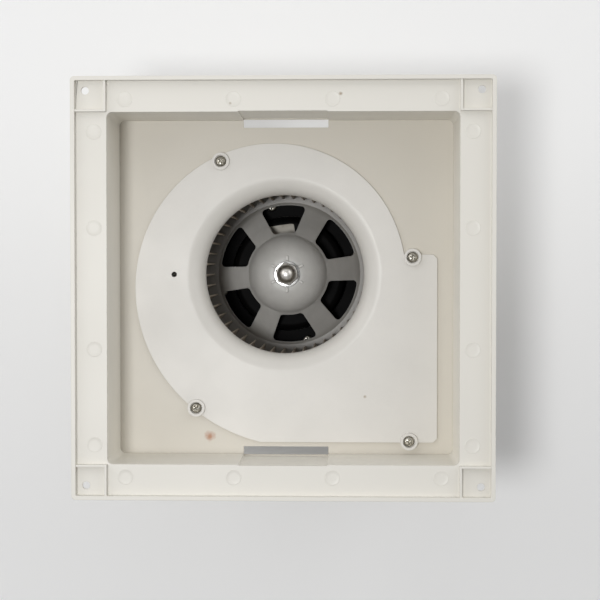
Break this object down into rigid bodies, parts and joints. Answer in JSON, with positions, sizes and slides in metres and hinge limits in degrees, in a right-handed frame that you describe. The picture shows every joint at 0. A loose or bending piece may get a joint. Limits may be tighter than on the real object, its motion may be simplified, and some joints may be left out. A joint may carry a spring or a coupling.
{
  "type": "duct exhaust fan",
  "caption": "Square ceiling exhaust fan with a tapered tray, bell mouth cover, squirrel cage impeller in a scroll casing and a round duct collar with a flap.",
  "frame": {"origin": "under the middle of the square flange, on the plane that the fan's back rests on", "axes": "+Z out of the intake face, +X along the outlet towards the duct, +Y completes a right-handed frame; the fan is turned over, intake down, to hang it in a ceiling"},
  "size_m": [0.3, 0.3, 0.198],
  "materials": {
    "white_plastic": "moulded off-white, satin",
    "grey_plastic": "moulded grey, slightly clear",
    "terminal_plastic": "dark moulded",
    "capacitor_plastic": "moulded case",
    "screw_steel": "zinc plated",
    "bright_steel": "ground",
    "bright_chrome": "plated",
    "brass_metal": "turned",
    "lamination_steel": "stacked sheet",
    "black_paint": "black enamel",
    "zinc_sheet": "galvanised sheet",
    "winding_enamel": "enamelled wire",
    "black_rubber": "moulded"
  },
  "bodies": {
    "housing": {"tray_frame": "white_plastic", "scroll_casing": "white_plastic", "scroll_cover": "white_plastic", "duct_collar": "white_plastic", "terminal_box": "white_plastic", "terminal_box_lid": "white_plastic", "terminal_block": "terminal_plastic", "cover_screws": "screw_steel", "front_bearing": "bright_steel", "rear_bearing": "bright_steel", "motor_front_shell": "black_paint", "motor_rear_shell": "black_paint", "motor_case_screws": "screw_steel", "stator_core": "lamination_steel", "stator_windings": "winding_enamel", "motor_plate": "black_paint", "motor_grommets": "black_rubber", "motor_mount_screws": "screw_steel", "motor_mount_nuts": "screw_steel", "motor_cover": "zinc_sheet", "motor_cover_screws": "screw_steel", "terminal_box_screws": "screw_steel", "lid_screws": "screw_steel", "terminal_screws": "screw_steel", "cable_grommet": "black_rubber", "run_capacitor": "capacitor_plastic", "capacitor_clip": "zinc_sheet", "capacitor_clip_screws": "screw_steel", "collar_screws": "screw_steel", "damper_pin": "bright_steel"},
    "rotor": {"impeller": "grey_plastic", "impeller_blades": "grey_plastic", "impeller_ring": "grey_plastic", "hub_bush": "brass_metal", "hub_washer": "bright_steel", "cap_nut": "bright_chrome", "motor_shaft": "bright_steel", "rotor_core": "lamination_steel"},
    "flap": {"damper_flap": "white_plastic"}
  },
  "joints": [
    {"name": "impeller_spin", "type": "hinge", "parent": "housing", "child": "rotor", "pos_m": [-0.0013, 0.0097, 0.1], "axis": [0, 0, 1], "continuous": true},
    {"name": "flap_swing", "type": "hinge", "parent": "housing", "child": "flap", "pos_m": [0.124, -0.04539, 0.076], "axis": [0, 1, 0], "range_deg": [0, 75], "stiffness_Nm_per_rad": 0.004, "springref_deg": -22.92}
  ]
}
